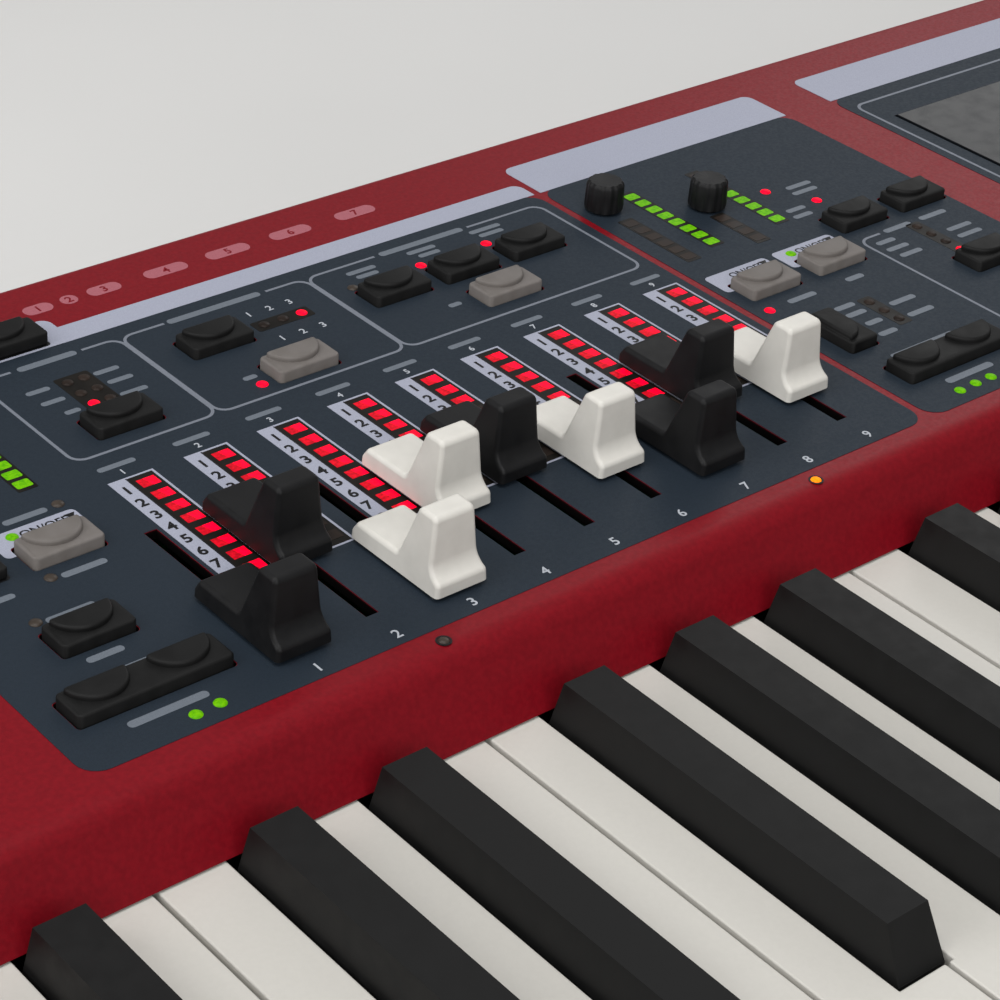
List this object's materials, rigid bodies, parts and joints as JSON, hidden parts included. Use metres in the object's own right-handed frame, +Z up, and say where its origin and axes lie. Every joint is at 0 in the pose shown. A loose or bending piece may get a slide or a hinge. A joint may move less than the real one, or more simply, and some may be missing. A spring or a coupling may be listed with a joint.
{
  "type": "stage piano",
  "caption": "Stage piano in a low red metal case: weighted keyboard, organ drawbars with light ladders, buttons, knobs, display, pitch stick and wheel, rear sockets.",
  "frame": {"origin": "on the floor under the middle of the case", "axes": "+X to the player's right, the keys' fronts at -Y, +Z up"},
  "size_m": [1.075, 0.33, 0.1173],
  "materials": {
    "red_paint": "fine powder-coated deep red paint",
    "red_moulding": "end block in the same deep red",
    "black_steel": "black powder coat",
    "zinc_steel": "zinc-plated sheet",
    "white_key": "off-white, satin",
    "black_key": "matt black, fine grain",
    "white_cap": "off-white, satin",
    "black_cap": "black, satin",
    "black_rubber": "matt black rubber",
    "grey_rubber": "matt grey rubber",
    "felt": "red felt",
    "circuit_board": "green circuit board",
    "black_plastic": "black moulding",
    "display_window": "dark clear window"
  },
  "bodies": {
    "root": {"bottom_pan": "black_steel", "top_panel": "red_paint", "left_cheek": "red_moulding", "right_cheek": "red_moulding", "rear_panel": "black_steel", "front_rail": "red_paint", "foot_1": "black_rubber", "foot_2": "black_rubber", "foot_3": "black_rubber", "foot_4": "black_rubber", "key_frame": "zinc_steel", "key_felt": "felt", "contact_strip": "circuit_board", "fader_bank": "circuit_board", "control_board": "circuit_board", "main_board": "circuit_board", "power_supply": "circuit_board", "keypad_mat": "black_rubber", "program_display": "display_window", "wheel_box": "black_plastic", "audio_jacks": "black_plastic", "data_sockets": "black_plastic", "mains_inlet": "black_plastic"},
    "power_switch": {"power_switch": "black_plastic"},
    "pitch_stick": {"pitch_stick": "black_plastic"},
    "mod_wheel": {"mod_wheel": "black_plastic"},
    "program_dial": {"program_dial": "black_plastic"},
    "master_knob": {"master_knob": "black_plastic"},
    "piano_knob_1": {"piano_knob_1": "black_plastic"},
    "piano_knob_2": {"piano_knob_2": "black_plastic"},
    "octave_rocker": {"octave_rocker": "black_rubber"},
    "aux_button": {"aux_button": "grey_rubber"},
    "preset_button": {"preset_button": "black_rubber"},
    "model_button": {"model_button": "black_rubber"},
    "vibrato_type_button": {"vibrato_type_button": "black_rubber"},
    "vibrato_on_button": {"vibrato_on_button": "grey_rubber"},
    "percussion_soft_button": {"percussion_soft_button": "black_rubber"},
    "percussion_fast_button": {"percussion_fast_button": "black_rubber"},
    "percussion_third_button": {"percussion_third_button": "black_rubber"},
    "percussion_on_button": {"percussion_on_button": "grey_rubber"},
    "drawbar_1": {"drawbar_1": "black_cap"},
    "drawbar_2": {"drawbar_2": "black_cap"},
    "drawbar_3": {"drawbar_3": "white_cap"},
    "drawbar_4": {"drawbar_4": "white_cap"},
    "drawbar_5": {"drawbar_5": "black_cap"},
    "drawbar_6": {"drawbar_6": "white_cap"},
    "drawbar_7": {"drawbar_7": "black_cap"},
    "drawbar_8": {"drawbar_8": "black_cap"},
    "drawbar_9": {"drawbar_9": "white_cap"},
    "key_Fs2": {"key_Fs2": "black_key"},
    "key_G2": {"key_G2": "white_key"},
    "key_Gs2": {"key_Gs2": "black_key"},
    "key_A2": {"key_A2": "white_key"},
    "key_As2": {"key_As2": "black_key"},
    "key_B2": {"key_B2": "white_key"},
    "key_C3": {"key_C3": "white_key"},
    "key_Cs3": {"key_Cs3": "black_key"},
    "keys_low": {"keys_low": "white_key"},
    "keys_middle": {"keys_middle": "white_key"},
    "keys_high": {"keys_high": "white_key"}
  },
  "joints": [
    {"name": "key_Fs2_press", "type": "hinge", "parent": "root", "child": "key_Fs2", "pos_m": [-0.29955, 0.07, 0.074], "axis": [1, 0, 0], "range_deg": [0, 2.58], "stiffness_Nm_per_rad": 0.4, "springref_deg": -17.19},
    {"name": "key_G2_press", "type": "hinge", "parent": "root", "child": "key_G2", "pos_m": [-0.28286, 0.07, 0.074], "axis": [1, 0, 0], "range_deg": [0, 2.58], "stiffness_Nm_per_rad": 0.4, "springref_deg": -17.19},
    {"name": "key_Gs2_press", "type": "hinge", "parent": "root", "child": "key_Gs2", "pos_m": [-0.27205, 0.07, 0.074], "axis": [1, 0, 0], "range_deg": [0, 2.58], "stiffness_Nm_per_rad": 0.4, "springref_deg": -17.19},
    {"name": "key_A2_press", "type": "hinge", "parent": "root", "child": "key_A2", "pos_m": [-0.25929, 0.07, 0.074], "axis": [1, 0, 0], "range_deg": [0, 2.58], "stiffness_Nm_per_rad": 0.4, "springref_deg": -17.19},
    {"name": "key_As2_press", "type": "hinge", "parent": "root", "child": "key_As2", "pos_m": [-0.24455, 0.07, 0.074], "axis": [1, 0, 0], "range_deg": [0, 2.58], "stiffness_Nm_per_rad": 0.4, "springref_deg": -17.19},
    {"name": "key_B2_press", "type": "hinge", "parent": "root", "child": "key_B2", "pos_m": [-0.23571, 0.07, 0.074], "axis": [1, 0, 0], "range_deg": [0, 2.58], "stiffness_Nm_per_rad": 0.4, "springref_deg": -17.19},
    {"name": "key_C3_press", "type": "hinge", "parent": "root", "child": "key_C3", "pos_m": [-0.21214, 0.07, 0.074], "axis": [1, 0, 0], "range_deg": [0, 2.58], "stiffness_Nm_per_rad": 0.4, "springref_deg": -17.19},
    {"name": "key_Cs3_press", "type": "hinge", "parent": "root", "child": "key_Cs3", "pos_m": [-0.2033, 0.07, 0.074], "axis": [1, 0, 0], "range_deg": [0, 2.58], "stiffness_Nm_per_rad": 0.4, "springref_deg": -17.19},
    {"name": "keys_low_press", "type": "hinge", "parent": "root", "child": "keys_low", "pos_m": [-0.40071, 0.07, 0.074], "axis": [1, 0, 0], "range_deg": [0, 2.58], "stiffness_Nm_per_rad": 5.6, "springref_deg": -17.19},
    {"name": "keys_middle_press", "type": "hinge", "parent": "root", "child": "keys_middle", "pos_m": [-0.02357, 0.07, 0.074], "axis": [1, 0, 0], "range_deg": [0, 2.58], "stiffness_Nm_per_rad": 10, "springref_deg": -17.19},
    {"name": "keys_high_press", "type": "hinge", "parent": "root", "child": "keys_high", "pos_m": [0.33, 0.07, 0.074], "axis": [1, 0, 0], "range_deg": [0, 2.58], "stiffness_Nm_per_rad": 10.4, "springref_deg": -17.19},
    {"name": "drawbar_1_pull", "type": "slide", "parent": "root", "child": "drawbar_1", "axis": [0, -1, 0], "range_m": [-0.0393, 0.0007]},
    {"name": "drawbar_2_pull", "type": "slide", "parent": "root", "child": "drawbar_2", "axis": [0, -1, 0], "range_m": [-0.01635, 0.02365]},
    {"name": "drawbar_3_pull", "type": "slide", "parent": "root", "child": "drawbar_3", "axis": [0, -1, 0], "range_m": [-0.04, 0]},
    {"name": "drawbar_4_pull", "type": "slide", "parent": "root", "child": "drawbar_4", "axis": [0, -1, 0], "range_m": [-0.0203, 0.0197]},
    {"name": "drawbar_5_pull", "type": "slide", "parent": "root", "child": "drawbar_5", "axis": [0, -1, 0], "range_m": [-0.0167, 0.0233]},
    {"name": "drawbar_6_pull", "type": "slide", "parent": "root", "child": "drawbar_6", "axis": [0, -1, 0], "range_m": [-0.0261, 0.0139]},
    {"name": "drawbar_7_pull", "type": "slide", "parent": "root", "child": "drawbar_7", "axis": [0, -1, 0], "range_m": [-0.0368, 0.0032]},
    {"name": "drawbar_8_pull", "type": "slide", "parent": "root", "child": "drawbar_8", "axis": [0, -1, 0], "range_m": [-0.01825, 0.02175]},
    {"name": "drawbar_9_pull", "type": "slide", "parent": "root", "child": "drawbar_9", "axis": [0, -1, 0], "range_m": [-0.0261, 0.0139]},
    {"name": "aux_button_press", "type": "slide", "parent": "root", "child": "aux_button", "axis": [0, 0, -1], "range_m": [0, 0.001], "stiffness_N_per_m": 1000, "springref_m": -0.0005},
    {"name": "preset_button_press", "type": "slide", "parent": "root", "child": "preset_button", "axis": [0, 0, -1], "range_m": [0, 0.001], "stiffness_N_per_m": 1000, "springref_m": -0.0005},
    {"name": "model_button_press", "type": "slide", "parent": "root", "child": "model_button", "axis": [0, 0, -1], "range_m": [0, 0.001], "stiffness_N_per_m": 1000, "springref_m": -0.0005},
    {"name": "vibrato_type_button_press", "type": "slide", "parent": "root", "child": "vibrato_type_button", "axis": [0, 0, -1], "range_m": [0, 0.001], "stiffness_N_per_m": 1000, "springref_m": -0.0005},
    {"name": "vibrato_on_button_press", "type": "slide", "parent": "root", "child": "vibrato_on_button", "axis": [0, 0, -1], "range_m": [0, 0.001], "stiffness_N_per_m": 1000, "springref_m": -0.0005},
    {"name": "percussion_soft_button_press", "type": "slide", "parent": "root", "child": "percussion_soft_button", "axis": [0, 0, -1], "range_m": [0, 0.001], "stiffness_N_per_m": 1000, "springref_m": -0.0005},
    {"name": "percussion_fast_button_press", "type": "slide", "parent": "root", "child": "percussion_fast_button", "axis": [0, 0, -1], "range_m": [0, 0.001], "stiffness_N_per_m": 1000, "springref_m": -0.0005},
    {"name": "percussion_third_button_press", "type": "slide", "parent": "root", "child": "percussion_third_button", "axis": [0, 0, -1], "range_m": [0, 0.001], "stiffness_N_per_m": 1000, "springref_m": -0.0005},
    {"name": "percussion_on_button_press", "type": "slide", "parent": "root", "child": "percussion_on_button", "axis": [0, 0, -1], "range_m": [0, 0.001], "stiffness_N_per_m": 1000, "springref_m": -0.0005},
    {"name": "octave_rocker_tilt", "type": "hinge", "parent": "root", "child": "octave_rocker", "pos_m": [-0.37043, 0.0274, 0.1], "axis": [0, 1, 0], "range_deg": [-2.5, 2.5], "stiffness_Nm_per_rad": 0.3},
    {"name": "piano_knob_1_turn", "type": "hinge", "parent": "root", "child": "piano_knob_1", "pos_m": [-0.17973, 0.1218, 0.101], "axis": [0, 0, 1], "continuous": true},
    {"name": "piano_knob_2_turn", "type": "hinge", "parent": "root", "child": "piano_knob_2", "pos_m": [-0.15783, 0.1094, 0.101], "axis": [0, 0, 1], "continuous": true},
    {"name": "program_dial_turn", "type": "hinge", "parent": "root", "child": "program_dial", "pos_m": [0.05298, 0.099, 0.101], "axis": [0, 0, 1], "continuous": true},
    {"name": "master_knob_turn", "type": "hinge", "parent": "root", "child": "master_knob", "pos_m": [-0.41503, 0.115, 0.101], "axis": [0, 0, 1], "range_deg": [-150, 150]},
    {"name": "pitch_stick_bend", "type": "hinge", "parent": "root", "child": "pitch_stick", "pos_m": [-0.49249, 0.119, 0.073], "axis": [0, 1, 0], "range_deg": [-20, 20], "stiffness_Nm_per_rad": 0.1},
    {"name": "mod_wheel_turn", "type": "hinge", "parent": "root", "child": "mod_wheel", "pos_m": [-0.44849, 0.119, 0.088], "axis": [-1, 0, 0], "range_deg": [0, 56]},
    {"name": "power_switch_tip", "type": "hinge", "parent": "root", "child": "power_switch", "pos_m": [-0.34999, 0.1612, 0.0435], "axis": [0, 0, 1], "range_deg": [0, 14]}
  ]
}
